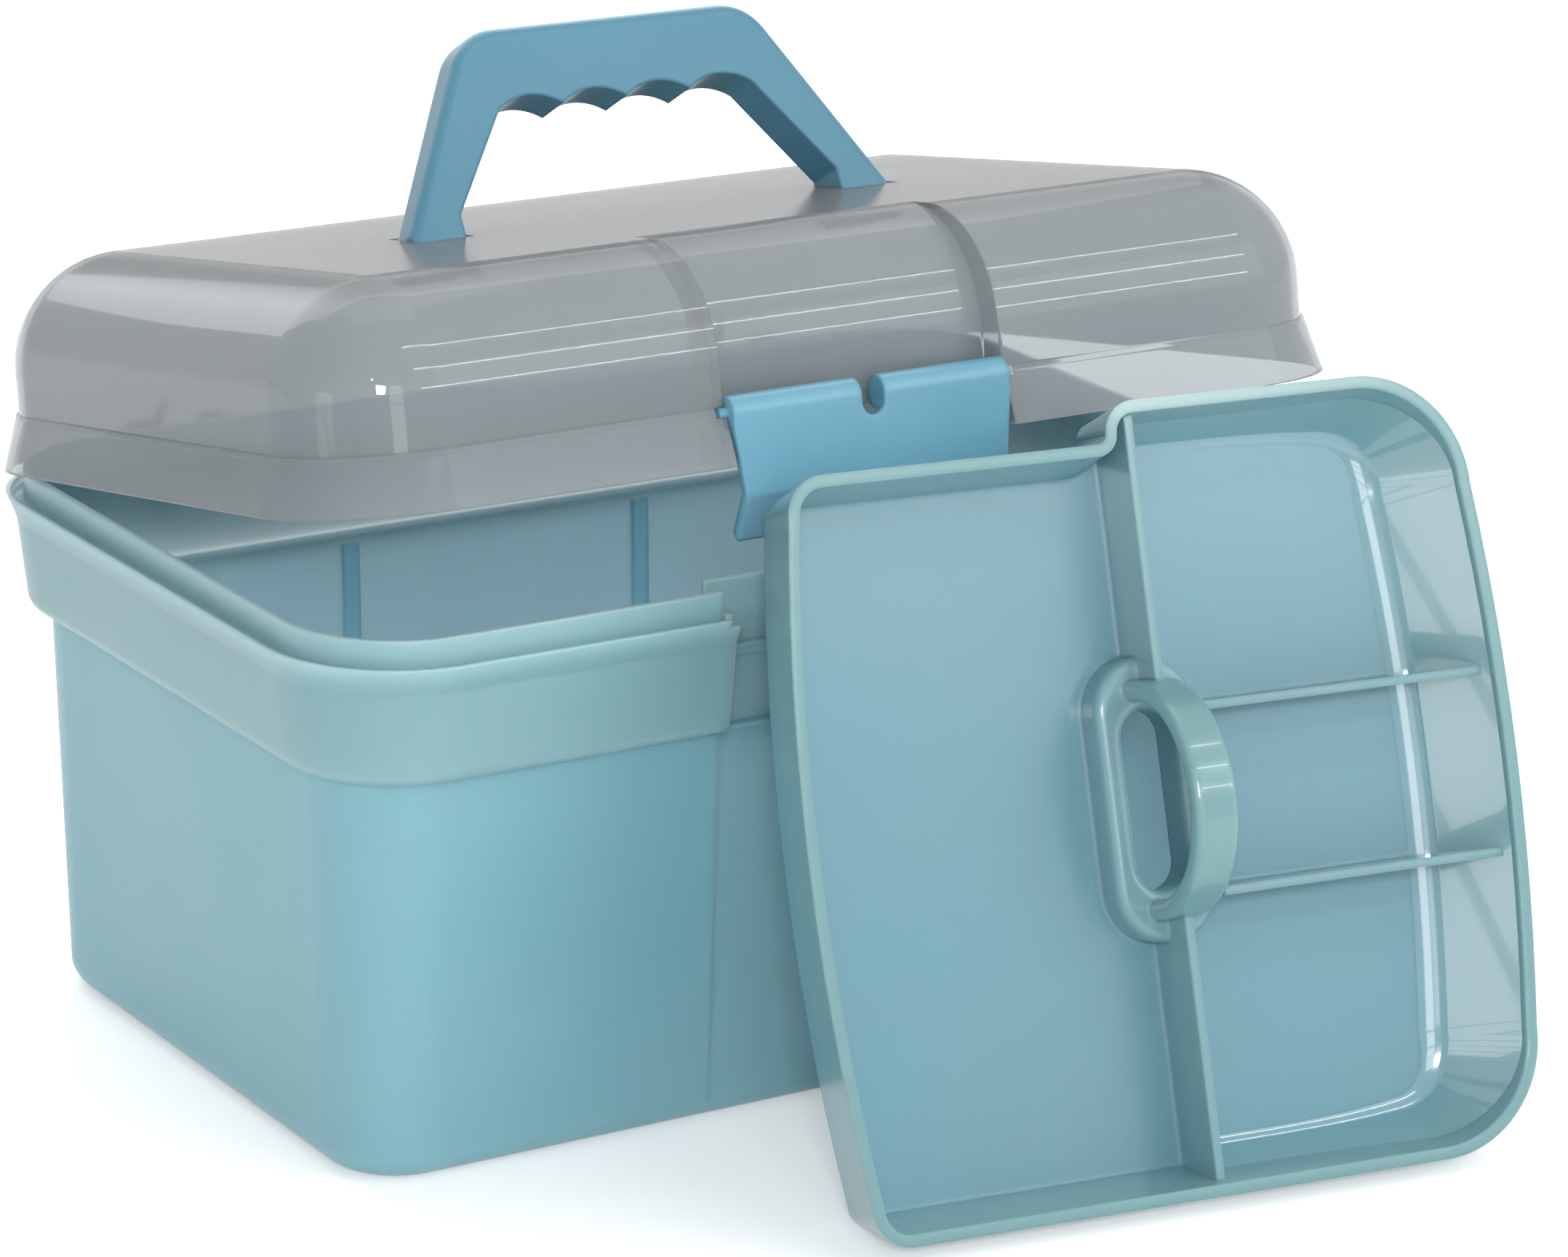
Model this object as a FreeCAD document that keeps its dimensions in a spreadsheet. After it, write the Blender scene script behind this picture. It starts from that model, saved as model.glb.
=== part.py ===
import FreeCAD, Part
import math
import os
import Sketcher

# Driving sizes in millimetres and degrees.
SIZES = {
    # tub
    "box_width": 310, "box_depth": 213, "corner_radius": 36, "rim_height": 139,
    "wall": 1.8, "base_radius": 8, "body_low_inset": 14.8, "body_top_inset": 11.5,
    "collar_height": 32, "collar_low_inset": 5.2, "collar_top_inset": 2.8, "collar_radius": 4.5,
    "flange_height": 7, "flange_lip": 1.6, "groove_depth": 2,
    "upstand_height": 6, "upstand_inset": 4.8,
    "panel_half": 40, "panel_recess": 0.7, "rib_place": 46, "rib_width": 5, "rib_proud": 1.6,
    # front channel and catch
    "channel_half": 41, "channel_depth": 15.3, "catch_reach": 2.8, "catch_thick": 2.6,
    "catch_drop": 11, "cheek_gap": 1,
    # rear hinge
    "hinge_place": 88, "hinge_back": 6, "hinge_rise": 1, "knuckle_radius": 4.4, "knuckle_width": 14,
    "lug_width": 6, "lug_gap": 0.4, "pin_radius": 2, "pin_fit": 0.03, "turn_fit": 0.08,
    # lid
    "lid_gap": 0.3, "lid_height": 55, "skirt_height": 14.5, "skirt_flare": 4.4,
    "dome_inset": 5.2, "dome_edge": 30, "lid_channel": 8, "channel_hem": 9,
    "lid_open_deg": 10,
    # latch
    "latch_gap": 0.5, "latch_inset": 5, "latch_rise": 13, "roll_radius": 4.2, "plate_thick": 2.4,
    "plate_drop": 21, "lip_reach": 9.6, "lip_fall": 12, "latch_taper": 4, "notch_half": 3.4,
    "notch_depth": 9.5, "stub_radius": 1.5, "stub_length": 2.2,
    # carry handle
    "handle_height": 52.5, "handle_thick": 13, "foot_outer": 71.8, "foot_inner": 57,
    "top_half": 43, "top_radius": 15, "grip_height": 30, "finger_pitch": 19.2, "finger_radius": 16,
    "handle_round": 3, "pivot_drop": 5, "foot_below": 3.5, "trunnion_radius": 2, "ear_thick": 3,
    "ear_half": 5, "ear_below": 4, "foot_straight": 3.5, "slot_gap": 0.5, "handle_lean_deg": 20,
    # tray
    "tray_gap": 0.4, "tray_width": 188, "tray_height": 25, "tray_wall": 3, "tray_draft": 4,
    "tray_outer_radius": 30, "tray_inner_radius": 10, "tray_bow": 620,
    "step_radius": 8, "step_hollow": 2.5, "divider_drop": 4, "divider_thick": 2.2,
    "cross_front": 77.3, "cross_back": 74.5,
    "boss_half": 36, "boss_width": 28, "boss_height": 12, "boss_round": 2.5, "slot_half": 23,
    "slot_width": 15, "arch_outer": 30, "arch_thick": 5, "arch_width": 12, "arch_spring": 14.5,
    "arch_round": 2,
    "tray_x": -50, "tray_clear": 3.5, "tray_yaw_deg": -7.5, "tray_lean_deg": 19.5,
}

PLANES = {"XY": "XY_Plane", "XZ": "XZ_Plane", "YZ": "YZ_Plane"}
VERTICAL = FreeCAD.Vector(0, 0, 1)

doc = FreeCAD.newDocument("art_supply_box")
sheet = doc.addObject("Spreadsheet::Sheet", "Sheet")
for row, (alias, number) in enumerate(SIZES.items(), start=1):
    sheet.set(f"A{row}", alias)
    sheet.set(f"B{row}", str(number))
    sheet.setAlias(f"B{row}", alias)
doc.recompute()


class Size:
    """A number together with the sheet formula that gives it."""

    def __init__(self, value, formula):
        self.value = value
        self.formula = formula

    def __add__(self, other):
        other = as_size(other)
        return Size(self.value + other.value, f"({self.formula} + {other.formula})")

    def __sub__(self, other):
        other = as_size(other)
        return Size(self.value - other.value, f"({self.formula} - {other.formula})")

    def __mul__(self, other):
        other = as_size(other)
        return Size(self.value * other.value, f"({self.formula} * {other.formula})")

    def __truediv__(self, other):
        other = as_size(other)
        return Size(self.value / other.value, f"({self.formula} / {other.formula})")

    def __neg__(self):
        return Size(-self.value, f"(0 - {self.formula})")

    def root(self):
        return Size(math.sqrt(self.value), f"sqrt({self.formula})")


def as_size(number):
    return number if isinstance(number, Size) else Size(float(number), str(number))


def size(alias):
    return Size(float(sheet.get(alias)), f"Sheet.{alias}")


# Places that several pieces share.
half_w = size("box_width") / 2
half_d = size("box_depth") / 2
wall = size("wall")
rim = size("rim_height")
rim_top = rim + size("upstand_height")
collar_z = rim - size("collar_height")
lid_z = rim + size("lid_gap")
lid_top = lid_z + size("lid_height")
dome_z = lid_z + size("skirt_height")
bend_z = lid_top - size("dome_edge")
dome_wall = size("dome_inset") + wall
front = -half_d
channel_half = size("channel_half")
channel_y = front + size("channel_depth")
hinge_y = half_d + size("hinge_back")
hinge_z = rim + size("hinge_rise")
latch_y = front + size("latch_inset")
latch_z = lid_z + size("latch_rise")
pivot_z = lid_top - size("pivot_drop")
tray_margin = size("collar_low_inset") + wall + size("tray_gap")
tray_depth = (half_d - tray_margin) * 2
tray_step = size("channel_depth") - size("collar_low_inset")


def new_body(label):
    body = doc.addObject("PartDesign::Body", label)
    body.Label = label
    return body


def new_sketch(body, plane, lift=0):
    sketch = body.newObject("Sketcher::SketchObject", "Sketch")
    support = next(f for f in body.Origin.OriginFeatures if f.Role == PLANES[plane])
    sketch.AttachmentSupport = [(support, "")]
    sketch.MapMode = "FlatFace"
    sketch.setExpression("AttachmentOffset.Base.z", as_size(lift).formula)
    return sketch


def dimension(sketch, kind, places, length):
    index = sketch.addConstraint(Sketcher.Constraint(kind, *places, length.value))
    sketch.setExpression(f"Constraints[{index}]", length.formula)


def arc_between(start, end, radius, turn):
    """The shorter arc from start to end; turn is 1 to the left, -1 to the right."""
    chord = end - start
    middle = (start + end) / 2
    reach = math.sqrt(max(radius ** 2 - chord.Length ** 2 / 4, 0))
    side = VERTICAL.cross(chord).normalize() * (reach * turn)
    centre = middle + side
    first, last = (start, end) if turn > 0 else (end, start)
    angles = [math.atan2(p.y - centre.y, p.x - centre.x) for p in (first, last)]
    return Part.ArcOfCircle(Part.Circle(centre, VERTICAL, radius), *angles)


def outline(sketch, corners):
    """A closed outline; a corner is (x, y), or (x, y, radius, turn) where an arc leaves it."""
    corners = [tuple(as_size(v) for v in c[:2]) + tuple(c[2:]) for c in corners]
    points = [FreeCAD.Vector(x.value, y.value, 0) for x, y, *_ in corners]
    base = sketch.GeometryCount
    ends = []
    for i, (_, _, *bend) in enumerate(corners):
        start, end = points[i], points[(i + 1) % len(points)]
        if bend:
            edge = arc_between(start, end, bend[0].value, bend[1])
        else:
            edge = Part.LineSegment(start, end)
        index = sketch.addGeometry(edge)
        ends.append((index, 1, 2) if not bend or bend[1] > 0 else (index, 2, 1))
    for i, (x, y, *bend) in enumerate(corners):
        index, first, _ = ends[i]
        before, _, last = ends[i - 1]
        sketch.addConstraint(Sketcher.Constraint("Coincident", before, last, index, first))
        dimension(sketch, "DistanceX", (-1, 1, index, first), x)
        dimension(sketch, "DistanceY", (-1, 1, index, first), y)
        if bend:
            dimension(sketch, "Radius", (base + i,), bend[0])
    return sketch


def rectangle(sketch, x0, x1, y0, y1):
    return outline(sketch, [(x0, y0), (x1, y0), (x1, y1), (x0, y1)])


def rounded(sketch, half_x, half_y, radius):
    """A rectangle about the origin with round corners, begun at the middle of its low side."""
    flat_x, flat_y = half_x - radius, half_y - radius
    return outline(sketch, [
        (0, -half_y), (flat_x, -half_y, radius, 1),
        (half_x, -flat_y), (half_x, flat_y, radius, 1),
        (flat_x, half_y), (-flat_x, half_y, radius, 1),
        (-half_x, flat_y), (-half_x, -flat_y, radius, 1), (-flat_x, -half_y)])


def circle(sketch, x, y, radius):
    x, y = as_size(x), as_size(y)
    centre = FreeCAD.Vector(x.value, y.value, 0)
    index = sketch.addGeometry(Part.Circle(centre, VERTICAL, radius.value))
    dimension(sketch, "DistanceX", (-1, 1, index, 3), x)
    dimension(sketch, "DistanceY", (-1, 1, index, 3), y)
    dimension(sketch, "Radius", (index,), radius)
    return sketch


def ring(body, inset, z):
    """The rim's outline, moved in by inset, at height z."""
    return rounded(new_sketch(body, "XY", z), half_w - inset, half_d - inset,
                   size("corner_radius") - inset)


def sweep(body, section):
    """Carries a section of (inset, height) corners right round the rim's outline."""
    profile = outline(new_sketch(body, "YZ"), [(front + c[0], *c[1:]) for c in section])
    feature = body.newObject("PartDesign::AdditivePipe", "Sweep")
    feature.Profile = profile
    feature.Spine = (ring(body, as_size(0), 0), [])
    feature.Mode = "Frenet"
    return feature


def extrude(body, kind, sketch, length, both=False, reverse=False):
    feature = body.newObject(f"PartDesign::{kind}", kind)
    feature.Profile = sketch
    feature.setExpression("Length", as_size(length).formula)
    feature.SideType = "Symmetric" if both else "One side"
    feature.Reversed = reverse
    return feature


def loft(body, kind, first, last):
    feature = body.newObject(f"PartDesign::{kind}Loft", f"{kind}Loft")
    feature.Profile = first
    feature.Sections = [last]
    feature.Ruled = True
    return feature


def fillet(body, radius, wanted):
    """Rounds each edge of the body so far whose middle point is wanted."""
    doc.recompute()
    base = body.Tip
    names = []
    for i, edge in enumerate(base.Shape.Edges, start=1):
        middle = edge.valueAt((edge.FirstParameter + edge.LastParameter) / 2)
        if wanted(middle):
            names.append(f"Edge{i}")
    feature = body.newObject("PartDesign::Fillet", "Fillet")
    feature.Base = (base, names)
    feature.setExpression("Radius", as_size(radius).formula)
    return feature


def block(body, kind, x, y, z, length):
    """A box pad or pocket: x and y are (low, high) and it runs up from z by length."""
    sketch = rectangle(new_sketch(body, "XY", z), *x, *y)
    return extrude(body, kind, sketch, length, reverse=kind == "Pocket")


def bar_across(body, corners, low_x, length):
    """A solid with a Y-Z outline that runs from low_x along X."""
    return extrude(body, "Pad", outline(new_sketch(body, "YZ", low_x), corners), length)


def bore_across(body, y, z, radius, low_x, length):
    sketch = circle(new_sketch(body, "YZ", low_x), y, z, radius)
    return extrude(body, "Pocket", sketch, length, reverse=True)


def rod_across(body, y, z, radius, low_x, length):
    return extrude(body, "Pad", circle(new_sketch(body, "YZ", low_x), y, z, radius), length)


def hinge_arm(body, root, low_x, length):
    """A web from its root points to a round end about the hinge axis, bored for the pin."""
    radius = size("knuckle_radius")
    bar_across(body, root, low_x, length)
    rod_across(body, hinge_y, hinge_z, radius, low_x, length)


def make_tub():
    body = new_body("tub")
    low, top = size("body_low_inset"), size("body_top_inset")
    collar_low, collar_top = size("collar_low_inset"), size("collar_top_inset")
    base, turn = size("base_radius"), size("collar_radius")
    flange_z = rim - size("flange_height")
    lip, groove, upstand = size("flange_lip"), size("groove_depth"), size("upstand_inset")
    sweep(body, [
        (low + base, 0, base, -1), (low, base), (top, collar_z),
        (collar_low + turn, collar_z, turn, -1), (collar_low, collar_z + turn),
        (collar_top, flange_z), (as_size(0), rim), (lip, rim), (lip, rim - groove),
        (upstand, rim - groove), (upstand, rim_top), (upstand + wall, rim_top),
        (collar_low + wall, collar_z + wall), (top + wall, collar_z + wall),
        (low + wall, base, base - wall, 1), (low + base, wall)])
    extrude(body, "Pad", ring(body, low + base - wall / 2, 0), wall)

    panel = size("panel_half")
    slabs = [rectangle(new_sketch(body, "XY", z), -panel, panel, front + inset - wall,
                       front + inset + size("panel_recess"))
             for z, inset in ((0, low), (collar_z, top))]
    loft(body, "Subtractive", *slabs)
    add_channel(body)
    for side in (-1, 1):
        add_rib(body, side)
        add_hinge_lugs(body, side)
    return body


def add_channel(body):
    """The recess at the middle of the front that the latch swings into, with its catch."""
    top_inset, low_inset = size("body_top_inset"), size("collar_low_inset")
    round_off, upstand = size("collar_radius"), size("upstand_inset")
    outside = channel_half + wall
    block(body, "Pocket", (-channel_half, channel_half), (front - wall, channel_y), collar_z,
          rim_top - collar_z + wall)
    floor_z = collar_z - wall
    clear = outside + size("cheek_gap")
    block(body, "Pocket", (-clear, clear), (front - wall, channel_y), rim - size("groove_depth"),
          rim_top - rim + size("groove_depth") + wall)
    cheek = [(channel_y + wall, floor_z), (channel_y + wall, rim), (front + upstand, rim),
             (front + low_inset + wall / 2, collar_z + round_off),
             (front + low_inset + round_off, collar_z + wall / 2),
             (front + top_inset + wall / 2, floor_z)]
    for low_x in (-outside, channel_half):
        bar_across(body, cheek, low_x, wall)
    block(body, "Pad", (-outside, outside), (channel_y, channel_y + wall), floor_z,
          rim_top - floor_z)
    block(body, "Pad", (-outside, outside), (front + top_inset + wall / 2, channel_y + wall),
          floor_z, wall)
    catch_top = rim - size("catch_drop")
    block(body, "Pad", (-channel_half, channel_half), (channel_y - size("catch_reach"), channel_y),
          catch_top - size("catch_thick"), size("catch_thick"))


def add_rib(body, side):
    """An upright stiffening rib on the inside of the rear wall."""
    low, top = size("body_low_inset"), size("body_top_inset")
    half = size("rib_width") / 2
    place = size("rib_place") * side
    foot = size("base_radius")
    slope = (low - top) / collar_z
    faces = []
    for z in (foot, collar_z):
        inner = half_d - (low - slope * z) - wall
        faces.append(rectangle(new_sketch(body, "XY", z), place - half, place + half,
                               inner - size("rib_proud"), inner + wall / 2))
    loft(body, "Additive", *faces)


def lug_starts(side):
    """Low X of the two tub lugs that stand each side of a lid knuckle."""
    near = size("knuckle_width") / 2 + size("lug_gap")
    place = size("hinge_place") * side
    return place - near - size("lug_width"), place + near


def add_hinge_lugs(body, side):
    radius, width = size("knuckle_radius"), size("lug_width")
    flange_z = rim - size("flange_height")
    root = [(half_d - size("collar_top_inset") - wall / 2, flange_z - radius * 2),
            (hinge_y + radius, hinge_z), (hinge_y - radius, hinge_z),
            (half_d - size("flange_lip"), rim - wall),
            (half_d - size("collar_top_inset") - wall / 2, rim - wall)]
    for low_x in lug_starts(side):
        hinge_arm(body, root, low_x, width)
        bore_across(body, hinge_y, hinge_z, size("pin_radius") + size("pin_fit"), low_x - 1, width + 2)


def make_hinge_pins():
    """Two plain pins, each through a lid knuckle and the tub lugs beside it."""
    pins = []
    for side in (-1, 1):
        pin = doc.addObject("Part::Cylinder", "HingePin")
        low_x = lug_starts(side)[0]
        length = lug_starts(side)[1] + size("lug_width") - low_x
        pin.setExpression("Radius", size("pin_radius").formula)
        pin.setExpression("Height", length.formula)
        start = FreeCAD.Vector(low_x.value, hinge_y.value, hinge_z.value)
        pin.Placement = FreeCAD.Placement(start, FreeCAD.Rotation(FreeCAD.Vector(0, 1, 0), 90))
        pins.append(pin)
    group = doc.addObject("Part::Compound", "hinge_pins")
    group.Label = "hinge_pins"
    group.Links = pins
    return group


def make_lid():
    """The lid as closed; its placement opens it."""
    body = new_body("lid")
    flare, edge, inset = size("skirt_flare"), size("dome_edge"), size("dome_inset")
    sweep(body, [
        (as_size(0), lid_z), (flare, dome_z), (inset, dome_z), (inset, bend_z, edge, -1),
        (inset + edge, lid_top), (inset + edge, lid_top - wall, edge - wall, 1),
        (dome_wall, bend_z), (dome_wall, dome_z - wall), (flare + wall, dome_z - wall), (wall, lid_z)])
    extrude(body, "Pad", ring(body, inset + edge - wall / 2, lid_top - wall), wall)
    add_lid_channel(body)
    for side in (-1, 1):
        add_knuckle(body, side)
        add_handle_seat(body, side)
    return body


def add_lid_channel(body):
    """The recess down the lid's front above the latch, and the cheeks that carry the latch."""
    edge, shift = size("dome_edge"), size("lid_channel")
    inset, flare = size("dome_inset"), size("skirt_flare")
    back = front + inset + shift
    skin = wall / 2
    hem_z = lid_z + size("channel_hem")
    mass = [(front + skin, lid_z), (back + wall, lid_z), (back + wall, bend_z, edge - wall, -1),
            (back + edge, lid_top - wall), (back + edge, lid_top - skin),
            (front + inset + edge, lid_top - skin, edge - skin, 1),
            (front + inset + skin, bend_z), (front + inset + skin, dome_z),
            (front + flare + skin, dome_z)]
    outside = channel_half + wall
    extrude(body, "Pad", outline(new_sketch(body, "YZ"), mass), outside * 2, both=True)
    void = [(front - edge, lid_z - edge), (back + wall + skin, lid_z - edge),
            (back + wall + skin, hem_z), (back, hem_z), (back, bend_z, edge, -1),
            (back + edge, lid_top), (back + edge, lid_top + edge), (front - edge, lid_top + edge)]
    extrude(body, "Pocket", outline(new_sketch(body, "YZ"), void), channel_half * 2, both=True)
    hole = size("stub_radius") + size("turn_fit")
    for low_x in (-outside - 1, channel_half - 1):
        bore_across(body, latch_y, latch_z, hole, low_x, wall + 2)


def add_knuckle(body, side):
    """A rear arm of the lid, bored to turn on the hinge pin."""
    radius, width = size("knuckle_radius"), size("knuckle_width")
    low_x = size("hinge_place") * side - width / 2
    skin = wall / 2
    root = [(half_d - skin, lid_z), (hinge_y - radius, lid_z), (hinge_y, hinge_z),
            (hinge_y, hinge_z + radius), (half_d - size("skirt_flare") - skin, dome_z)]
    hinge_arm(body, root, low_x, width)
    bore_across(body, hinge_y, hinge_z, size("pin_radius") + size("turn_fit"), low_x - 1, width + 2)


def seat_span(side):
    """Low and high X of the slot that a handle leg stands in."""
    gap = size("slot_gap")
    low, high = size("foot_inner") - gap, size("foot_outer") + gap
    return (low, high) if side > 0 else (-high, -low)


def seat_half():
    """Half the slot's length: room for the leg to lean to its stop."""
    lean = math.radians(size("handle_lean_deg").value)
    turn = Size(math.tan(lean), "tan(Sheet.handle_lean_deg * 1deg)")
    spread = Size(1 / math.cos(lean), "(1 / cos(Sheet.handle_lean_deg * 1deg))")
    return size("handle_thick") / 2 * spread + size("pivot_drop") * turn + size("lid_gap")


def add_handle_seat(body, side):
    """A slot in the lid's top with an ear under it at each end for the handle's trunnion."""
    low, high = seat_span(side)
    half, ear = size("ear_half"), size("ear_thick")
    below = size("ear_below")
    for x0 in (low - ear, high):
        block(body, "Pad", (x0, x0 + ear), (-half, half), pivot_z - below, size("pivot_drop") + below - wall / 2)
    block(body, "Pocket", (low, high), (-seat_half(), seat_half()), lid_top - wall * 2, wall * 4)
    bore_across(body, as_size(0), pivot_z, size("trunnion_radius") + size("turn_fit"), low - ear - 1,
                high - low + ear * 2 + 2)


def make_latch():
    """The latch about its own pivot, hanging as it does when it is let go."""
    body = new_body("latch")
    roll, thick = size("roll_radius"), size("plate_thick")
    drop, reach, fall = size("plate_drop"), size("lip_reach"), size("lip_fall")
    half = channel_half - size("latch_gap")
    plate = [(-roll, 0), (-roll, -drop), (reach - roll, -drop - fall),
             (reach - roll + thick / 2, thick - drop - fall), (thick - roll, thick / 2 - drop),
             (thick - roll, 0)]
    extrude(body, "Pad", outline(new_sketch(body, "YZ"), plate), half * 2, both=True)
    extrude(body, "Pad", circle(new_sketch(body, "YZ"), 0, 0, roll), half * 2, both=True)
    taper, bottom = size("latch_taper"), -drop - fall - thick
    for side in (-1, 1):
        turned = 1 if side > 0 else -1
        corners = [(half * side, -roll), (half * side + turned, bottom), ((half - taper) * side, bottom)]
        extrude(body, "Pocket", outline(new_sketch(body, "XZ"), corners), half, both=True)
    notch, depth = size("notch_half"), size("notch_depth")
    low = roll - depth + notch
    slot = [(-notch, low, notch, 1), (0, low - notch, notch, 1), (notch, low), (notch, roll * 2),
            (-notch, roll * 2)]
    extrude(body, "Pocket", outline(new_sketch(body, "XZ"), slot), half, both=True)
    stub, length = size("stub_radius"), size("stub_length")
    rod_across(body, 0, 0, stub, -half - length, length + 1)
    rod_across(body, 0, 0, stub, half - 1, length + 1)
    return body


def make_carry_handle():
    """The handle about its trunnion axis, upright."""
    body = new_body("carry_handle")
    base = size("pivot_drop")
    top, grip = base + size("handle_height"), base + size("grip_height")
    outer, inner, half = size("foot_outer"), size("foot_inner"), size("top_half")
    pitch, scallop = size("finger_pitch"), size("finger_radius")
    below = size("foot_below")
    thick = size("handle_thick")
    fingers = [(pitch * n, grip, scallop, -1) for n in (-2, -1, 0, 1)]
    knee = base + size("foot_straight")
    face = [(-outer, -below), (-inner, -below), (-inner, knee)] + fingers + [
        (pitch * 2, grip), (inner, knee), (inner, -below), (outer, -below), (outer, base),
        (half, top), (-half, top), (-outer, base)]
    extrude(body, "Pad", outline(new_sketch(body, "XZ"), face), thick, both=True)
    corner = lambda p: abs(p.z - top.value) < 1e-4 and abs(abs(p.x) - half.value) < 1e-4
    fillet(body, size("top_radius"), corner)
    slope = (outer.value - half.value) / (top.value - base.value)
    on_face = lambda p: abs(abs(p.y) - thick.value / 2) < 1e-4
    leg_x = lambda z: outer.value - slope * max(z - base.value, 0)
    soft = size("handle_round")
    rim_edge = lambda p: on_face(p) and p.z > base.value + 1 and abs(p.x) > leg_x(p.z) - soft.value
    crown = lambda p: on_face(p) and p.z > (top - soft * 2).value
    fillet(body, soft, lambda p: rim_edge(p) or crown(p))
    for side in (-1, 1):
        low, high = seat_span(side)
        ear = size("ear_thick")
        rod_across(body, 0, 0, size("trunnion_radius"), low - ear, high - low + ear * 2)
    return body


def tray_wall_reach(y):
    """How far the bowed end wall stands out past its corners at depth y."""
    bow = size("tray_bow")
    flat = tray_depth / 2 - size("tray_outer_radius")
    away = as_size(y) - tray_depth / 2
    return (bow * bow - away * away).root() - (bow * bow - flat * flat).root()


def step_place():
    """X of the step's side wall, which passes beside the tub's front channel."""
    end = half_w - tray_margin - tray_wall_reach(tray_depth / 2)
    return size("tray_width") - (end - channel_half - wall - size("tray_gap"))


def divider_place():
    """Low X of the main divider, just clear of the step's drafted side wall."""
    return step_place() + size("tray_draft") + size("tray_wall") + size("tray_gap")


def tray_outline(body, inset, z):
    """The tray's plan moved in by inset: inner end at X 0, step at the front of that end."""
    inset = as_size(inset)
    width, depth, bow = size("tray_width"), tray_depth, size("tray_bow")
    big, small = size("tray_outer_radius") - inset, size("tray_inner_radius") - inset
    step_x = step_place() + inset
    crest, hollow = size("step_radius") - inset, size("step_hollow") + inset
    right, left = width - inset, inset
    back, far = inset, depth - inset
    step_y = far - tray_step
    return outline(new_sketch(body, "XY", z), [
        (left + small, back), (right - big, back, big, 1),
        (right, back + big, bow, 1), (right, far - big, big, 1),
        (right - big, far), (step_x + crest, far, crest, 1),
        (step_x, far - crest), (step_x, step_y + hollow, hollow, -1),
        (step_x - hollow, step_y), (left + small, step_y, small, 1),
        (left, step_y - small, bow, 1), (left, back + small, small, 1)])


def make_tray():
    """The lift-out tray lying flat, floor down."""
    body = new_body("tray")
    height, skin, draft = size("tray_height"), size("tray_wall"), size("tray_draft")
    loft(body, "Additive", tray_outline(body, draft, 0), tray_outline(body, 0, height))
    loft(body, "Subtractive", tray_outline(body, draft + skin, skin), tray_outline(body, skin, height))
    add_boss(body)
    add_dividers(body)
    add_arch(body)
    return body


def add_dividers(body):
    """Walls across the tray: the main one stops at the finger loop, two more run to the outer end."""
    width, depth = size("tray_width"), tray_depth
    height, skin, draft = size("tray_height"), size("tray_wall"), size("tray_draft")
    thick, main = size("divider_thick"), divider_place()
    levels = (skin / 2, height - size("divider_drop"))
    insets = [draft - draft / height * z + skin / 2 for z in levels]
    stop = size("arch_outer") - size("arch_thick") / 2
    for near in (True, False):
        planks = [rectangle(new_sketch(body, "XY", z), main, main + thick,
                            inset if near else depth / 2 + stop,
                            depth / 2 - stop if near else depth - inset)
                  for z, inset in zip(levels, insets)]
        loft(body, "Additive", *planks)
    start = main + thick / 2 + (size("boss_width") + size("slot_width")) / 4
    for y in (size("cross_back"), depth - size("cross_front")):
        end = width + tray_wall_reach(y)
        planks = [rectangle(new_sketch(body, "XY", z), start, end - inset, y - thick / 2, y + thick / 2)
                  for z, inset in zip(levels, insets)]
        loft(body, "Additive", *planks)


def stadium(sketch, x, y, half_length, half_width):
    """A slot shape along Y with round ends."""
    flat = half_length - half_width
    return outline(sketch, [
        (x + half_width, y - flat), (x + half_width, y + flat, half_width, 1),
        (x, y + half_length, half_width, 1), (x - half_width, y + flat),
        (x - half_width, y - flat, half_width, 1), (x, y - half_length, half_width, 1)])


def grip_place():
    """Middle of the finger loop, on the line of the main divider."""
    return divider_place() + size("divider_thick") / 2, tray_depth / 2


def add_boss(body):
    """A low round-edged collar on the tray's floor about a slot for fingers."""
    skin, top = size("tray_wall"), size("boss_height")
    x, y = grip_place()
    boss = stadium(new_sketch(body, "XY", skin / 2), x, y, size("boss_half"), size("boss_width") / 2)
    extrude(body, "Pad", boss, top - skin / 2)
    slot = stadium(new_sketch(body, "XY", 0), x, y, size("slot_half"), size("slot_width") / 2)
    extrude(body, "Pocket", slot, top + skin, reverse=True)
    fillet(body, size("boss_round"), lambda p: abs(p.z - top.value) < 1e-4)


def add_arch(body):
    """The finger loop, which bridges the collar's slot from end to end."""
    x, y = grip_place()
    outer, band = size("arch_outer"), size("arch_width") / 2
    inner = outer - size("arch_thick")
    spring, low = size("arch_spring"), size("boss_height") - size("boss_round") * 2
    loop = outline(new_sketch(body, "YZ", x - band), [
        (y - outer, low), (y - inner, low), (y - inner, spring, inner, -1),
        (y, spring + inner, inner, -1), (y + inner, spring), (y + inner, low), (y + outer, low),
        (y + outer, spring, outer, 1), (y, spring + outer, outer, 1), (y - outer, spring)])
    extrude(body, "Pad", loop, band * 2)
    side = lambda p: abs(abs(p.x - x.value) - band.value) < 1e-4
    fillet(body, size("arch_round"), lambda p: side(p) and p.z > size("boss_height").value + 0.5)


def turned_about(y, z, degrees):
    """A turn about a line along X through (y, z)."""
    centre = FreeCAD.Vector(0, y.value, z.value)
    return FreeCAD.Placement(FreeCAD.Vector(), FreeCAD.Rotation(FreeCAD.Vector(1, 0, 0), degrees), centre)


def moved_to(x, y, z):
    return FreeCAD.Placement(FreeCAD.Vector(x, y, z), FreeCAD.Rotation())


tub = make_tub()
pins = make_hinge_pins()
lid = make_lid()
latch = make_latch()
handle = make_carry_handle()
tray = make_tray()

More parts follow.
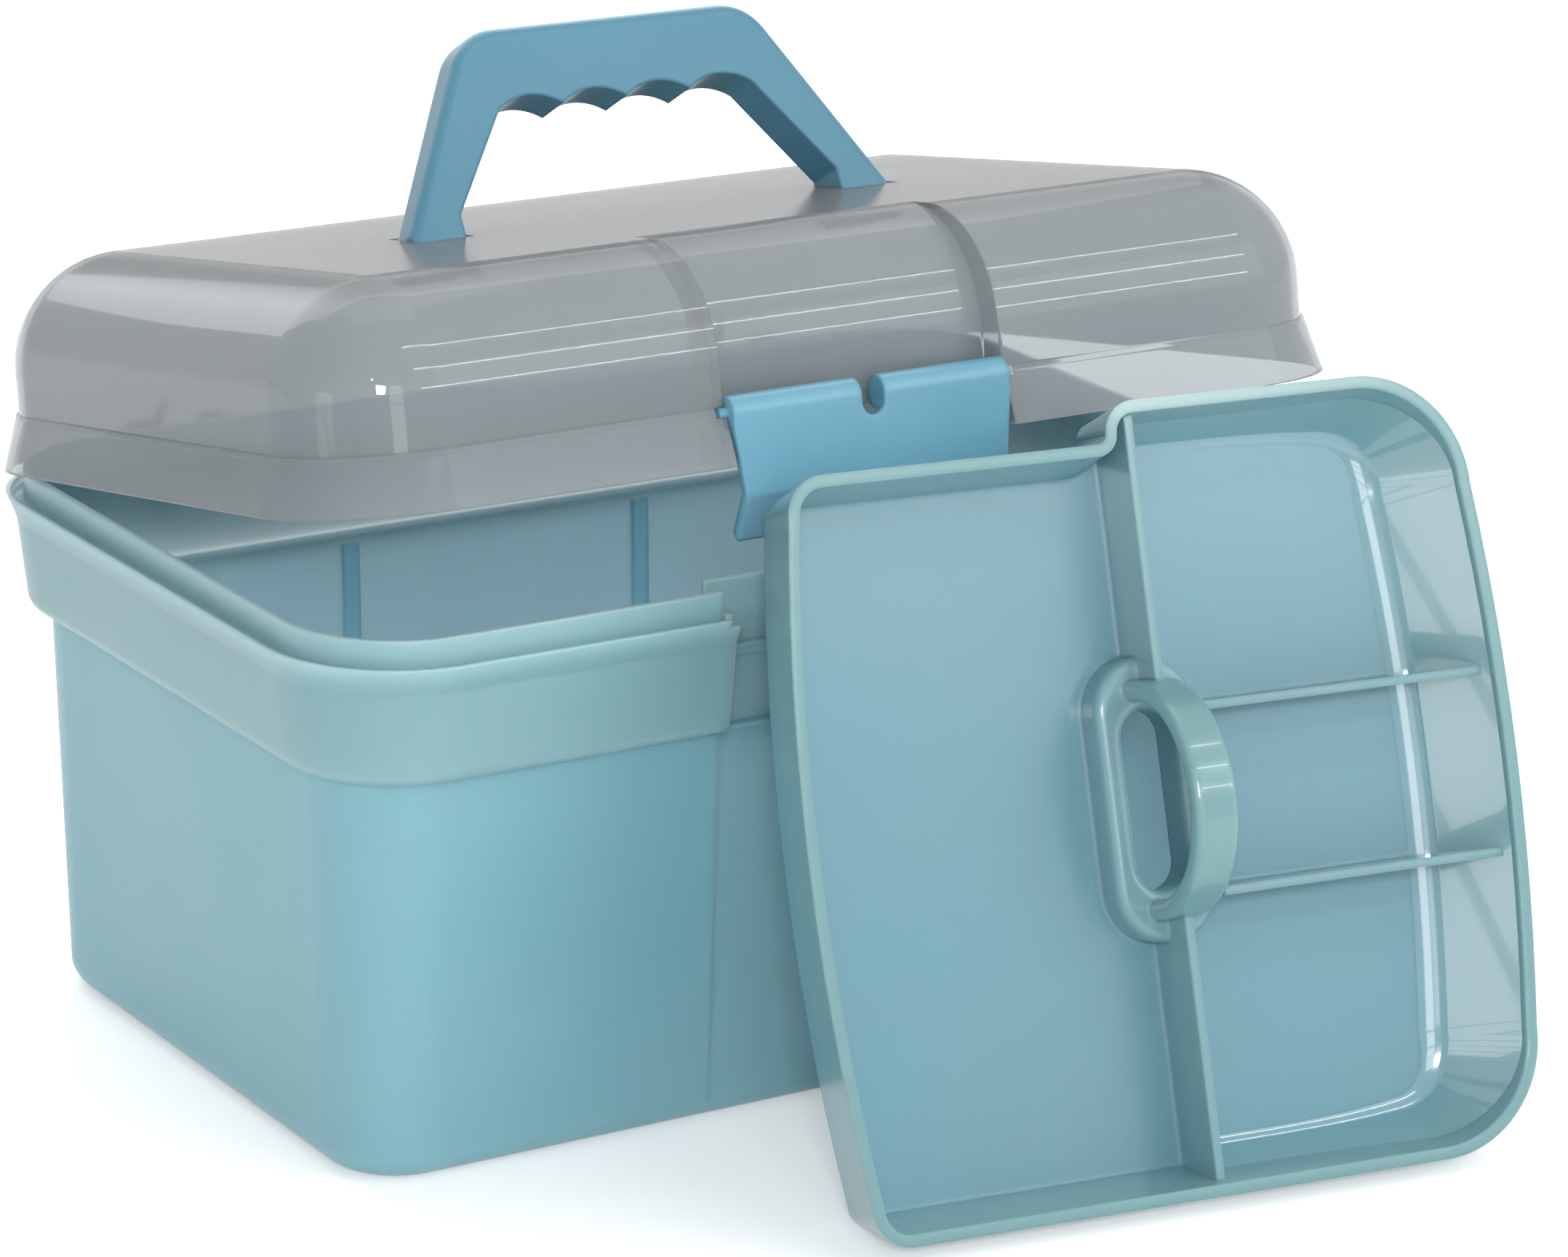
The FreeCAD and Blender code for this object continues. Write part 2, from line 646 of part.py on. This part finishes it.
opened = turned_about(hinge_y, hinge_z, -size("lid_open_deg").value)
lean_back = turned_about(as_size(0), as_size(0), -size("handle_lean_deg").value)
lid.Placement = opened
latch.Placement = opened.multiply(moved_to(0, latch_y.value, latch_z.value))
handle.Placement = opened.multiply(moved_to(0, 0, pivot_z.value)).multiply(lean_back)

# The tray stands on its back edge before the tub, leaning towards it.
upright = FreeCAD.Rotation(FreeCAD.Vector(1, 0, 0), 90 - size("tray_lean_deg").value)
yaw = FreeCAD.Rotation(FreeCAD.Vector(0, 0, 1), size("tray_yaw_deg").value)
tray.Placement = FreeCAD.Placement(FreeCAD.Vector(), yaw.multiply(upright))
doc.recompute()
turned = tray.Shape.BoundBox
tray_y = front - size("tray_clear") - turned.YMax
tray.Placement.Base = FreeCAD.Vector(size("tray_x").value, tray_y.value, -turned.ZMin)
doc.recompute()

pieces = [tub, pins, lid, latch, handle, tray]
for item in doc.Objects:
    if {"Invalid", "Error"} & set(item.State):
        raise RuntimeError(f"{item.Label} did not build: {item.State}")
for piece in pieces:
    shape = piece.Shape
    if shape.isNull() or not shape.isValid():
        raise RuntimeError(f"{piece.Label} has no valid shape")

os.makedirs("parts", exist_ok=True)
for piece in pieces:
    piece.Shape.exportStep(f"parts/{piece.Label}.step")
    box = piece.Shape.BoundBox
    print(piece.Label, len(piece.Shape.Solids), round(piece.Shape.Volume / 1000, 2), "cm3",
          [round(v, 1) for v in (box.XMin, box.XMax, box.YMin, box.YMax, box.ZMin, box.ZMax)])
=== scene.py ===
import bpy
import numpy as np
from mathutils import Matrix


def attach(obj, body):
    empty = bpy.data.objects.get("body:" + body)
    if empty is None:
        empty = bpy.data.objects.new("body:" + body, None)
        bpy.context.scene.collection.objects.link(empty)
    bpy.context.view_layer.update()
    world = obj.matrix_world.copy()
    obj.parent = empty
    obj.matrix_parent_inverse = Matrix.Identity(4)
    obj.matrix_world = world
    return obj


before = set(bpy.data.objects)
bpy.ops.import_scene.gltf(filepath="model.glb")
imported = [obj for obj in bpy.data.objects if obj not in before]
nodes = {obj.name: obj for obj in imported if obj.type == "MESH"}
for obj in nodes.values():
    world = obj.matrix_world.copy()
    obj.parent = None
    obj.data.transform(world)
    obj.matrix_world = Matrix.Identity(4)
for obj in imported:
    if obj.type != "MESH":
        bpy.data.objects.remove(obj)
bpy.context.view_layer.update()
scene = bpy.context.scene
print("frame loaded")


def unit(v):  # a vector over its own length
    v = np.array(v, float)
    return v / np.linalg.norm(v)


def turned(x, y, z, place):  # matrix whose columns are the three axes and the place
    m = np.eye(4)
    m[:3, 0], m[:3, 1], m[:3, 2], m[:3, 3] = x, y, z, place
    return Matrix(m.tolist())


def addObject(name, data):  # new object at the origin, put into the scene
    ob = bpy.data.objects.new(name, data)
    scene.collection.objects.link(ob)
    return ob


# camera at the photo's angle
view = dict(
    eye=(-0.7831, -1.3172, 0.5845), right=(0.8513, -0.5244, 0.0158), up=(0.1449, 0.2639, 0.9536),
    lens=138.4, sensor=36.0, reach=50.0)


def setCamera(v):  # up is squared to right; back is right cross up
    camera = bpy.data.cameras.new("camera")
    camera.lens, camera.sensor_width, camera.clip_end = v["lens"], v["sensor"], v["reach"]
    x = unit(v["right"])
    y = unit(np.array(v["up"]) - x * (x @ np.array(v["up"])))
    scene.camera = addObject("camera", camera)
    scene.camera.matrix_world = turned(x, y, np.cross(x, y), v["eye"])


setCamera(view)
scene.view_settings.view_transform = "Standard"


def plug(tree, socket, value):  # wires an output into the socket, or sets a plain value on it
    if isinstance(value, bpy.types.NodeSocket):
        tree.links.new(value, socket)
    else:
        socket.default_value = value


# first inputs from the terms in order, the rest and the properties by name
def addNode(tree, kind, *terms, **values):
    n = tree.nodes.new("ShaderNode" + kind)
    for k, v in values.items():
        if k in n.bl_rna.properties:
            setattr(n, k, v)
        else:
            plug(tree, n.inputs[k.replace("_", " ")], v)
    for socket, term in zip(n.inputs, terms):
        plug(tree, socket, term)
    return n


def addMath(tree, operation, *terms, **values):  # result of one operation on sockets or numbers
    return addNode(tree, "Math", *terms, operation=operation, **values).outputs[0]


def newMaterial(name, **sockets):  # material, its tree and its shader with sockets set by name
    m = bpy.data.materials.new(name)
    m.use_nodes = True
    shader = m.node_tree.nodes["Principled BSDF"]
    for k, v in sockets.items():
        shader.inputs[k.replace("_", " ")].default_value = v
    return m, m.node_tree, shader


# studio: white floor and backdrop, soft panels, thin tubes, two barred windows and one small lamp
studio = dict(
    ambient=0.43, slant=0.24,  # light from around, and how much less of it comes from -X
    floorColor=(0.94, 0.94, 0.94), floorReach=6.0, floorGlow=(0.30, 0.62), glowReach=(0.6, 1.8),
    panels=[  # name, place, aim, width and height, watts, colour
        ("keyPanel", (-1.3, -1.2, 1.5), (0, 0, 0.1), (2.0, 1.5), 0.9, (1, 0.95, 0.91)),
        ("frontPanel", (-1.0, -1.75, 0.95), (0, 0, 0.1), (0.3, 0.3), 15.0, (1, 0.98, 0.96)),
        ("fillPanel", (1.3, -1.5, 1.0), (0, 0, 0.1), (1.2, 1.0), 5.0, (0.95, 0.98, 1)),
        ("topPanel", (0.1, 0.5, 1.9), (0, 0, 0.1), (1.4, 1.2), 5.0, (1, 1, 1)),
        ("backPanel", (0.3, 1.5, 1.3), (0, 0.1, 0.1), (2.2, 1.6), 24.0, (1, 1, 1)),
        ("tubeHigh", (0.6, -0.85, 1.5), (0.6, 0, 0.2), (1.2, 0.028), 2.6, (1, 1, 1)),
        ("tubeMid", (0.7, -1.3, 1.15), (0.7, 0, 0.2), (1.2, 0.028), 2.6, (1, 1, 1)),
        ("tubeLow", (0.8, -1.6, 0.75), (0.8, 0, 0.2), (1.2, 0.028), 2.6, (1, 0.94, 0.88))],
    windows=[  # place of the lowest pane, step from pane to pane, panes, width and height, watts
        ((-0.46, -1.62, 0.28), 0.15, 5, (0.35, 0.13), 0.65),
        ((-1.2, -0.27, 0.06), 0.09, 5, (0.30, 0.078), 0.18)],
    windowAim=(0.13, -0.17),
    bulb=((-0.85, -1.05, 0.95), 0.02, 1.0))  # place, radius, watts


# flat lamp: its back runs from aim to place and its width is level
def addPanel(name, place, aim, size, power, color=(1, 1, 1)):
    lamp = bpy.data.lights.new(name, "AREA")
    lamp.shape, lamp.energy, lamp.color = "RECTANGLE", power, color
    lamp.size, lamp.size_y = size
    z = unit(np.array(place, float) - np.array(aim, float))
    x = unit(np.cross((0, 0, 1.0), z))
    addObject(name, lamp).matrix_world = turned(x, np.cross(z, x), z, place)


def addBulb(place, radius, power):  # a round lamp
    lamp = bpy.data.lights.new("bulb", "POINT")
    lamp.shadow_soft_size, lamp.energy = radius, power
    addObject("bulb", lamp).location = place


# low for lighting, high where the camera sees it straight, mirrored or through the lid
def seenLevel(tree, low, high):
    path = addNode(tree, "LightPath").outputs
    seen = addMath(tree, "ADD", path["Is Camera Ray"], path["Is Glossy Ray"])
    seen = addMath(tree, "ADD", seen, path["Is Transmission Ray"], use_clamp=True)
    return addNode(tree, "MapRange", seen, To_Min=low, To_Max=high).outputs["Result"]


# white where seen; its light grows along X from ambient less slant to ambient plus slant
def addWorld(s):
    scene.world = bpy.data.worlds.new("world")
    scene.world.use_nodes = True
    tree = scene.world.node_tree
    around = addNode(tree, "SeparateXYZ", addNode(tree, "TexCoord").outputs["Generated"])
    least, most = s["ambient"] - s["slant"], s["ambient"] + s["slant"]
    light = addNode(tree, "MapRange", around.outputs["X"],
                    From_Min=-1.0, To_Min=least, To_Max=most)
    back = tree.nodes["Background"].inputs
    back["Color"].default_value = (1, 1, 1, 1)
    plug(tree, back["Strength"], seenLevel(tree, light.outputs["Result"], 1.0))


def addFloor(s):  # square of paper; where seen, it glows more with distance from the middle
    r = s["floorReach"]
    mesh = bpy.data.meshes.new("floor")
    mesh.from_pydata([(-r, -r, 0), (r, -r, 0), (r, r, 0), (-r, r, 0)], [], [(0, 1, 2, 3)])
    floor = addObject("floor", mesh)
    m, tree, paper = newMaterial("floorPaper", Base_Color=(*s["floorColor"], 1), Roughness=0.95,
                                 Emission_Color=(1, 1, 1, 1))
    at = addNode(tree, "TexCoord").outputs["Object"]
    away = addNode(tree, "VectorMath", at, operation="LENGTH").outputs["Value"]
    (near, far), (least, most) = s["glowReach"], s["floorGlow"]
    glow = addNode(tree, "MapRange", away, From_Min=near, From_Max=far, To_Min=least, To_Max=most)
    plug(tree, paper.inputs["Emission Strength"], seenLevel(tree, 0.0, glow.outputs["Result"]))
    mesh.materials.append(m)


def addLamps(s):  # the panels, the windows' panes one above the other, the bulb
    for panel in s["panels"]:
        addPanel(*panel)
    for (x, y, z), step, count, size, power in s["windows"]:
        for i in range(count):
            addPanel("pane", (x, y, z + i * step), (*s["windowAim"], z + i * step), size, power)
    addBulb(*s["bulb"])


addWorld(studio)
addFloor(studio)
addLamps(studio)
print("studio set")

# moulded plastic: slow clouds of tone from the melt, fine grain for the bump, uneven gloss
mould = dict(
    takes=dict(Vector="Vector", Color="Color", Deep="Color",
               Clouds="Float", Grain="Float", Gloss="Float", Spread="Float"),
    gives=dict(Color="Color", Roughness="Float", Height="Float"),
    cloudDetail=3.0, cloudRough=0.55, cloudSpan=(0.2, 0.8), grainDetail=2.0,
    edgeSamples=6, bumpDepth=0.0002)


def smoothStep(tree, value, low, high):  # 0 up to low, 1 from high, eased between
    return addNode(tree, "MapRange", value, interpolation_type="SMOOTHSTEP",
                   From_Min=low, From_Max=high).outputs["Result"]


def above(tree, value, place, soft):  # 1 above a place, fading over soft to either side
    return smoothStep(tree, value, place - soft, place + soft)


def band(tree, value, low, high, soft):  # 1 between low and high: above low less above high
    past = above(tree, value, high, soft)
    return addMath(tree, "SUBTRACT", above(tree, value, low, soft), past)


def mixColors(tree, factor, first, second):  # first where the factor is 0, second where it is 1
    n = addNode(tree, "Mix", factor, data_type="RGBA")
    plug(tree, n.inputs[6], first)  # 6, 7 and 2 are the colour sockets
    plug(tree, n.inputs[7], second)
    return n.outputs[2]


def blend(tree, mask, under, color):  # paints a colour where the mask is 1
    return mixColors(tree, mask, under, (*color, 1))


# colour runs to deep with the clouds; roughness is gloss plus spread times the clouds
def makeMouldGroup(k):
    g = bpy.data.node_groups.new("mouldedSkin", "ShaderNodeTree")
    for side, sockets in (("INPUT", k["takes"]), ("OUTPUT", k["gives"])):
        for name, kind in sockets.items():
            g.interface.new_socket(name, in_out=side, socket_type="NodeSocket" + kind)
    taken = g.nodes.new("NodeGroupInput").outputs
    given = g.nodes.new("NodeGroupOutput").inputs
    cloud = addNode(g, "TexNoise", Vector=taken["Vector"], Scale=taken["Clouds"],
                    Detail=k["cloudDetail"], Roughness=k["cloudRough"])
    cloud = smoothStep(g, cloud.outputs["Fac"], *k["cloudSpan"])
    grain = addNode(g, "TexNoise", Vector=taken["Vector"], Scale=taken["Grain"],
                    Detail=k["grainDetail"])
    rough = addMath(g, "MULTIPLY_ADD", cloud, taken["Spread"], taken["Gloss"])
    plug(g, given["Color"], mixColors(g, cloud, taken["Color"], taken["Deep"]))
    plug(g, given["Roughness"], rough)
    plug(g, given["Height"], grain.outputs["Fac"])
    return g


mouldedSkin = makeMouldGroup(mould)


# skin group to colour and gloss, with its bump over rounded edges
def dress(name, look, shade=None, **sockets):
    m, tree, shader = newMaterial(name, **sockets)
    at = addNode(tree, "TexCoord").outputs["Object"]
    skin = addNode(tree, "Group", node_tree=mouldedSkin, Vector=at, Clouds=look["clouds"],
                   Color=(*look["color"], 1), Deep=(*look["deep"], 1),
                   Grain=look["grain"], Gloss=look["gloss"], Spread=look["spread"]).outputs
    color = shade(tree, at, skin["Color"], look) if shade else skin["Color"]
    edge = addNode(tree, "Bevel", samples=mould["edgeSamples"], Radius=look["edge"])
    bump = addNode(tree, "Bump", Strength=look["bump"], Distance=mould["bumpDepth"],
                   Height=skin["Height"], Normal=edge.outputs["Normal"])
    plug(tree, shader.inputs["Base Color"], color)
    plug(tree, shader.inputs["Roughness"], skin["Roughness"])
    plug(tree, shader.inputs["Normal"], bump.outputs["Normal"])
    return m


def wear(node, material):  # the solid's only material
    slots = nodes[node].data.materials
    slots.clear()
    slots.append(material)


# tub: milky blue, greyer collar, pale rim, blue ribs at the back
tubLook = dict(
    color=(0.215, 0.445, 0.51), deep=(0.195, 0.43, 0.505),
    collar=(0.23, 0.41, 0.45), collarFrom=(0.107, 0.004),  # height and how far it fades
    rim=(0.275, 0.48, 0.52), rimFrom=(0.1355, 0.0025),
    rib=(0.26, 0.54, 0.65), ribAcross=(0.0436, 0.0484, 0.0005),  # from, to and how far it fades
    ribDeep=(0.0872, 0.0903, 0.0003), ribHigh=(0.006, 0.1065, 0.001), wallLean=0.0323,
    clouds=11.0, grain=900.0, gloss=0.36, spread=0.06, bump=0.06, edge=0.0016)


# collar and rim by height; ribs where width, depth and height all fit
def shadeTub(tree, at, color, k):
    x, y, z = addNode(tree, "SeparateXYZ", at).outputs
    color = blend(tree, above(tree, z, *k["collarFrom"]), color, k["collar"])
    color = blend(tree, above(tree, z, *k["rimFrom"]), color, k["rim"])
    across = band(tree, addMath(tree, "ABSOLUTE", x), *k["ribAcross"])
    depth = addMath(tree, "MULTIPLY_ADD", z, -k["wallLean"], y)  # square to the leaning back wall
    ribs = addMath(tree, "MULTIPLY", across, band(tree, depth, *k["ribDeep"]))
    ribs = addMath(tree, "MULTIPLY", ribs, band(tree, z, *k["ribHigh"]))
    return blend(tree, ribs, color, k["rib"])


wear("tub", dress(
    "tubPlastic", tubLook, shadeTub, Coat_Weight=0.12, Coat_Roughness=0.15,
    Subsurface_Weight=1.0, Subsurface_Radius=(1.22, 1.0, 0.97), Subsurface_Scale=0.0075))

# lid: frosted clear with a hard gloss; the flat top greyer and darker in painted shade, and
# duller
lidLook = dict(
    color=(0.475, 0.51, 0.53), deep=(0.46, 0.495, 0.515), top=(0.40, 0.41, 0.415),
    # the top's colour is painted shade: darker and greyer than the sides
    up=(0, 0.17365, 0.98481), topSpan=(0.2052, 0.2112), sideCoat=0.4, topCoat=0.04,
    clouds=9.0, grain=60.0, gloss=0.12, spread=0.05, bump=0.05, edge=0.0006)


def shadeLid(tree, at, color, k):  # top colour, which is painted shade, and coat by height along the raised lid's own axis
    high = addNode(tree, "VectorMath", at, k["up"], operation="DOT_PRODUCT").outputs["Value"]
    top = smoothStep(tree, high, *k["topSpan"])
    coat = addNode(tree, "MapRange", top, To_Min=k["sideCoat"], To_Max=k["topCoat"])
    plug(tree, tree.nodes["Principled BSDF"].inputs["Coat Weight"], coat.outputs["Result"])
    # the flat top darkened by painted shade
    return blend(tree, top, color, k["top"])


wear("lid", dress(
    "lidPlastic", lidLook, shadeLid, Transmission_Weight=0.7, IOR=1.04, Coat_Roughness=0.045))

# carry handle and latch: one batch of solid blue; the thin latch lighter by painted light,
# standing in for light through its thin plate
handleLook = dict(
    color=(0.078, 0.255, 0.355), deep=(0.07, 0.24, 0.35),
    clouds=20.0, grain=800.0, gloss=0.34, spread=0.06, bump=0.05, edge=0.0018)
# the latch is the handle's blue painted lighter: painted light through the thin plate
latchLitLook = dict(handleLook, color=(0.15, 0.375, 0.495), deep=(0.135, 0.36, 0.49), gloss=0.30)
wear("carry_handle", dress(
    "handlePlastic", handleLook, Coat_Weight=0.15, Coat_Roughness=0.1,
    Subsurface_Weight=0.25, Subsurface_Radius=(0.5, 1.0, 1.0), Subsurface_Scale=0.003))
wear("latch", dress(
    "latchPlastic", latchLitLook, Coat_Weight=0.15, Coat_Roughness=0.1,
    Subsurface_Weight=0.4, Subsurface_Radius=(0.5, 1.0, 1.0), Subsurface_Scale=0.004))

# tray: clearer blue floor, greener walls and rim, glossy
trayLook = dict(
    color=(0.157, 0.345, 0.42), deep=(0.165, 0.33, 0.385),
    wall=(0.187, 0.348, 0.383), wallFrom=(0.008, 0.005),  # height and how far it fades
    rim=(0.18, 0.343, 0.363), rimFrom=(0.0235, 0.001),
    place=(-0.050, -0.16977, -0.00377), yaw=-7.5, lean=19.5,
    clouds=10.0, grain=800.0, gloss=0.20, spread=0.06, bump=0.04, edge=0.002)


# width, depth and height of the tray: tilted up to its lean, then turned by its yaw
def trayAxes(k):
    a, y = np.radians(90 - k["lean"]), np.radians(k["yaw"])
    turn = np.array([[np.cos(y), -np.sin(y), 0], [np.sin(y), np.cos(y), 0], [0, 0, 1]])
    tilt = np.array([[1, 0, 0], [0, np.cos(a), -np.sin(a)], [0, np.sin(a), np.cos(a)]])
    return turn @ tilt


def shadeTray(tree, at, color, k):  # wall and rim by height along the tray's own axis
    up = trayAxes(k)[:, 2]
    base = float(up @ np.array(k["place"]))  # the underside
    high = addNode(tree, "VectorMath", at, tuple(up), operation="DOT_PRODUCT").outputs["Value"]
    for part in ("wall", "rim"):
        place, soft = k[part + "From"]
        color = blend(tree, above(tree, high, base + place, soft), color, k[part])
    return color


wear("tray", dress(
    "trayPlastic", trayLook, shadeTray, Coat_Weight=0.35, Coat_Roughness=0.05,
    Subsurface_Weight=0.6, Subsurface_Radius=(0.8, 1.0, 1.0), Subsurface_Scale=0.004))

# cove in the tray: sloping floor edge and outer wall, in mm in the tray's own axes
coveLook = dict(
    trayLook, color=(0.175, 0.35, 0.41), deep=(0.165, 0.34, 0.41), gloss=0.12, edge=0.0,
    section=((15.0, 0.0), (9.4, 2.2), (-3.64, 20.0)),  # inward and up from the foot line
    behind=(-4.0, -0.5),  # closes the section
    sag=0.25, facetSteps=13, lessAtEnds=0.4, growth=4, sharp=0.6,
    floor=3.0, start=97.06, low=7.0, high=191.2, corner=23.0, side=181.0, bow=620.0, steps=24)


# foot of the outer wall: straight, quarter arc, bowed side, quarter arc, straight
def coveLine(k):
    n, r = k["steps"], k["corner"]
    a = np.linspace(0, np.pi / 2, n)
    cx, lowY, highY = k["side"] - r, k["low"] + r, k["high"] - r
    run = np.linspace(k["start"], cx, n)[:-1]
    y = np.linspace(lowY, highY, 3 * n)[1:-1]
    half, mid = (highY - lowY) / 2, (highY + lowY) / 2
    x = k["side"] + np.sqrt(k["bow"] ** 2 - (y - mid) ** 2) - np.sqrt(k["bow"] ** 2 - half ** 2)
    return np.concatenate([
        np.stack([run, np.full(n - 1, k["low"])], 1),
        np.stack([cx + r * np.sin(a), lowY - r * np.cos(a)], 1),
        np.stack([x, y], 1),
        np.stack([cx + r * np.cos(a), highY + r * np.sin(a)], 1),
        np.stack([run[::-1], np.full(n - 1, k["high"])], 1)])


def facet(p, q, sag, count):  # straight from p to q, hollowed by sag in the middle
    t = np.linspace(0, 1, count)[:, None]
    p, q = np.array(p), np.array(q)
    d = unit(q - p)
    return p + (q - p) * t + np.array([-d[1], d[0]]) * sag * 4 * t * (1 - t)


# two hollow facets swept along the foot line, closed below the floor and behind the wall
def makeCove(k):
    line = coveLine(k)
    along = np.gradient(line, axis=0)
    along = along / np.linalg.norm(along, axis=1, keepdims=True)
    inward = np.stack([-along[:, 1], along[:, 0]], 1)
    a, b, c = k["section"]
    slope, wall = (facet(p, q, k["sag"], k["facetSteps"]) for p, q in ((a, b), (b, c)))
    cut = np.concatenate([slope, wall[1:], [k["behind"]]])
    t = np.clip((line[:, 0] - k["start"]) / (k["side"] - k["start"]), 0, 1)
    scale = k["lessAtEnds"] + (1 - k["lessAtEnds"]) * t ** k["growth"]  # full size at the side
    rows, count = len(line), len(cut)
    p = np.zeros((rows, count, 3))
    reach, rise = scale[:, None] * cut[None, :, 0], scale[:, None] * cut[None, :, 1]
    p[..., :2] = line[:, None, :] + inward[:, None, :] * reach[..., None]
    p[..., 2] = k["floor"] + rise
    p = p.reshape(-1, 3) / 1000 @ trayAxes(k).T + np.array(k["place"])  # mm to m, then leaning
    i, j = np.meshgrid(np.arange(rows - 1), np.arange(count), indexing="ij")
    here, there, after = i * count, (i + 1) * count, (j + 1) % count
    quads = np.stack([here + j, there + j, there + after, here + after], -1).reshape(-1, 4)
    ends = [list(range(count))[::-1], list(range((rows - 1) * count, rows * count))]
    mesh = bpy.data.meshes.new("trayCove")
    mesh.from_pydata(p.tolist(), [], quads.tolist() + ends)
    mesh.polygons.foreach_set("use_smooth", np.ones(len(mesh.polygons), bool))
    mesh.set_sharp_from_angle(angle=k["sharp"])
    return addObject("trayCove", mesh)


cove = makeCove(coveLook)
cove.data.materials.append(dress(
    "covePlastic", coveLook, shadeTray, Coat_Weight=1.0, Coat_Roughness=0.03))
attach(cove, "tray")
print("cove built")

# pins: drawn wire
pinLook = dict(
    color=(0.58, 0.58, 0.59), deep=(0.50, 0.50, 0.51),
    clouds=300.0, grain=2500.0, gloss=0.25, spread=0.12, bump=0.10, edge=0.0003)
wear("hinge_pins", dress("pinSteel", pinLook, Metallic=1.0))
print("materials set")
